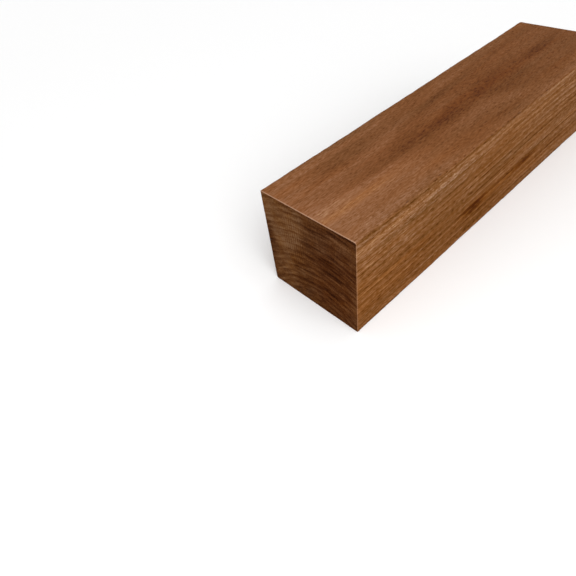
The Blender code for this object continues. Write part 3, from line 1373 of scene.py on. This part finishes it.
        return Skin(
            points=np.concatenate(all_points),
            quads=np.concatenate(quads),
            corners=np.concatenate(corners),
            fuzz_and_highlight_share=np.concatenate([fuzz_and_highlight_share.ravel(), on_ends]),
            arris_shade=np.concatenate([arris_shade.ravel(), on_ends]),
            flat_sawn=np.concatenate([self.growth.flatness(plain, normals).ravel(), on_ends]),
        )

    def strip_map(self, points: np.ndarray, tile: np.ndarray, side: int) -> np.ndarray:
        """Lay one long face out as a strip of the map, as wide and high as STRIP says.

        Args:
            points: Points of the loops in millimetres.
            tile: Grid of the face's point numbers.
            side: Number of the face in the order of the loop, which is also the strip's.

        Returns:
            The place in the map of each point of the grid.
        """
        along = (points.reshape(-1, 3)[tile][..., 0] - self.low[0]) / (self.high[0] - self.low[0])
        across = np.broadcast_to(np.linspace(0.0, 1.0, tile.shape[1]), tile.shape)
        bottom = side / len(LONG_FACES) + STRIP_MARGIN
        return np.stack([STRIP_MARGIN + STRIP[0] * along, bottom + STRIP[1] * across], axis=-1)

    def end_map(self, flat: np.ndarray, face: Face) -> np.ndarray:
        """Lay one end out as a square of the map, to the right of the strips.

        Args:
            flat: Grid of the end's points in millimetres.
            face: Which end it is.

        Returns:
            The place in the map of each point of the grid.
        """
        size = self.high - self.low
        across = (flat[..., 1] - self.low[1]) / size[1]
        up = (flat[..., 2] - self.low[2]) / size[2]
        left, bottom = END_CORNERS[face]
        return np.stack([left + END_SQUARE * across, bottom + END_SQUARE * up], axis=-1)

    def build(self) -> bpy.types.Object:
        """Put the skin into a mesh and dress it.

        Returns:
            The blank, riding on its body in place of the plain solid.
        """
        skin = self.surface()
        mesh = bpy.data.meshes.new("walnut_blank")
        mesh.vertices.add(len(skin.points))
        mesh.loops.add(skin.quads.size)
        mesh.polygons.add(len(skin.quads))
        mesh.vertices.foreach_set("co", (skin.points * MM).astype(np.float32).ravel())
        mesh.loops.foreach_set("vertex_index", skin.quads.astype(np.int32).ravel())
        mesh.polygons.foreach_set("loop_start", np.arange(0, skin.quads.size, 4, dtype=np.int32))
        is_end = np.zeros(len(skin.quads), np.int32)
        is_end[-2 * self.side_steps**2 :] = 1
        mesh.polygons.foreach_set("material_index", is_end)
        skin_map = mesh.uv_layers.new(name="OFBake")
        skin_map.uv.foreach_set("vector", skin.corners.astype(np.float32).ravel())
        marks = {"arris_fuzz_and_highlight": skin.fuzz_and_highlight_share, "arris_shade": skin.arris_shade, "flat_sawn": skin.flat_sawn}
        for name, values in marks.items():
            mesh.attributes.new(name, "FLOAT", "POINT").data.foreach_set("value", values.astype(np.float32))
        mesh.update(calc_edges=True)
        mesh.validate()
        mesh.shade_smooth()
        mesh.materials.append(PlanedWalnut().material())
        mesh.materials.append(SawnEndGrain().material())
        blank = new_object("walnut_blank", mesh)
        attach(blank, "root")
        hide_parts(CAD_NODE)
        return blank


def quad_corners(tile: np.ndarray) -> np.ndarray:
    """Give the corners of each quad of a grid, anticlockwise as rows run right and columns run up.

    Args:
        tile: Grid of point numbers or of places.

    Returns:
        One row for each quad, with its four corners on the second axis.
    """
    corners = (tile[:-1, :-1], tile[:-1, 1:], tile[1:, 1:], tile[1:, :-1])
    stacked = np.stack(corners, axis=2)
    return stacked.reshape(-1, 4, *tile.shape[2:])


@dataclass(frozen=True)
class Skylight:
    """A far, wide and even light, which falls as strongly on the floor's edge as on the blank.

    Attributes:
        name: Which light it is.
        direction: Where it comes from.
        width: Angle that it fills, which softens its shadow.
        strength: Its strength on a surface that faces it, in watts for each square metre.
    """

    name: str
    direction: tuple[float, float, float]
    width: float
    strength: float

    def build(self) -> bpy.types.Object:
        """Put up the light.

        Returns:
            The light, facing the floor's middle.
        """
        light = bpy.data.lights.new(self.name, "SUN")
        light.angle = radians(self.width)
        light.energy = self.strength
        holder = new_object(self.name, light)
        holder.rotation_euler = Vector(self.direction).to_track_quat("Z", "Y").to_euler()
        holder.location = Vector(self.direction)
        return holder


@dataclass(frozen=True)
class SoftBox:
    """A small square lamp near the blank, whose light falls off along it.

    Attributes:
        name: Which lamp it is.
        place: Where it hangs, in millimetres.
        aim: What it faces, in millimetres.
        size: Length of its side, in millimetres.
        power: Its power in watts.
    """

    name: str
    place: tuple[float, float, float]
    aim: tuple[float, float, float]
    size: float
    power: float

    def build(self) -> bpy.types.Object:
        """Hang the lamp.

        Returns:
            The lamp, facing its aim.
        """
        lamp = bpy.data.lights.new(self.name, "AREA")
        lamp.shape = "SQUARE"
        lamp.size = self.size * MM
        lamp.energy = self.power
        holder = new_object(self.name, lamp)
        holder.location = Vector(self.place) * MM
        holder.rotation_euler = (Vector(self.place) - Vector(self.aim)).to_track_quat("Z", "Y").to_euler()
        return holder


def seen_directly(tree: Tree) -> Socket:
    """Add nodes that give 1 to the camera, in reflections and through glass, and 0 to all other light.

    Args:
        tree: Node tree of the floor or of the world.

    Returns:
        The output that holds it.
    """
    path = add(tree, "LightPath").node.outputs
    seen = add(tree, "Math", {0: path["Is Camera Ray"], 1: path["Is Glossy Ray"]}, operation="MAXIMUM")
    return add(tree, "Math", {0: seen, 1: path["Is Transmission Ray"]}, operation="MAXIMUM")


@dataclass(frozen=True)
class Studio:
    """The floor, the lights and the camera.

    Attributes:
        eye: Where the camera is, in millimetres.
        target: Where its axis meets the floor, in millimetres.
        roll: Angle by which it is turned about its axis.
        lens: Focal length in millimetres.
        frame_width: Width of the frame behind the lens, in millimetres.
        nearest: Distance from which the camera sees, in millimetres.
        floor_size: Side of the floor, in millimetres.
        floor_seen: Colour of the floor to the camera.
        floor_bounce: Colour of the floor to the light that it throws back.
        ambient: Strength of the light from all round.
        lights: The lights.
    """

    eye: tuple[float, float, float] = (-286.72, -155.87, 239.0)
    target: tuple[float, float, float] = (-154.72, 24.17, 0.0)
    roll: float = -10.1
    lens: float = 28.931
    frame_width: float = 36.0
    nearest: float = 10.0
    floor_size: float = 12000.0
    floor_seen: str = "#ffffff"
    floor_bounce: str = "#dedede"
    ambient: float = 0.52
    lights: tuple[Skylight | SoftBox, ...] = (
        Skylight("key_light", (-0.22, -0.66, 0.72), 65.0, 1.75),
        Skylight("back_light", (0.7, 0.5, 0.5), 80.0, 0.35),
        SoftBox("near_box", (-295.0, -235.0, 300.0), (-152.0, -10.0, 60.0), 220.0, 0.40),
    )

    def build_floor(self) -> bpy.types.Object:
        """Lay a plain pale floor under the blank.

        Returns:
            The floor.
        """
        half = self.floor_size * MM / 2.0
        mesh = bpy.data.meshes.new("studio_floor")
        corners = [(-half, -half, 0.0), (half, -half, 0.0), (half, half, 0.0), (-half, half, 0.0)]
        mesh.from_pydata(corners, [], [(0, 1, 2, 3)])
        material, tree, shader = new_material("matt_white_paper")
        feeds = {0: seen_directly(tree), 6: linear(self.floor_bounce), 7: linear(self.floor_seen)}
        colour = add(tree, "Mix", feeds, output=2, data_type="RGBA")
        feed(shader, {"Base Color": colour, "Roughness": 1.0, "Specular IOR Level": 0.0})
        mesh.materials.append(material)
        floor = new_object("studio_floor", mesh)
        return floor

    def build_world(self) -> bpy.types.World:
        """Fill the room with even light, and show white to the camera and to reflections.

        Returns:
            The scene's world.
        """
        world = bpy.data.worlds.new("studio")
        world.use_nodes = True
        tree = world.node_tree
        strength = add(tree, "MapRange", {"Value": seen_directly(tree), "To Min": self.ambient})
        feed(tree.nodes["Background"], {"Color": linear(self.floor_seen), "Strength": strength})
        bpy.context.scene.world = world
        return world

    def build_camera(self) -> bpy.types.Object:
        """Set up the camera where the photograph was taken from.

        Returns:
            The scene's camera.
        """
        lens = bpy.data.cameras.new("camera")
        lens.lens = self.lens
        lens.sensor_width = self.frame_width
        lens.sensor_fit = "HORIZONTAL"
        lens.clip_start = self.nearest * MM
        camera = new_object("camera", lens)
        look = (Vector(self.target) - Vector(self.eye)).to_track_quat("-Z", "Y").to_matrix().to_4x4()
        turn = look @ Matrix.Rotation(radians(self.roll), 4, "Z")
        camera.matrix_world = Matrix.Translation(Vector(self.eye) * MM) @ turn
        bpy.context.scene.camera = camera
        return camera

    def build(self) -> None:
        """Build the floor, the room, the lights and the camera."""
        self.build_floor()
        self.build_world()
        for light in self.lights:
            light.build()
        self.build_camera()
        bpy.context.scene.view_settings.view_transform = "Standard"


def main() -> None:
    """Build the blank and the studio."""
    logging.basicConfig(level=logging.INFO, format="%(message)s")
    low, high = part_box(CAD_NODE)
    blank = TurningBlank(np.array(low) / MM, np.array(high) / MM).build()
    log.info("%s: %d quads", blank.name, len(blank.data.polygons))
    Studio().build()
    log.info("studio: floor, lights and camera")


if __name__ == "__main__":
    main()
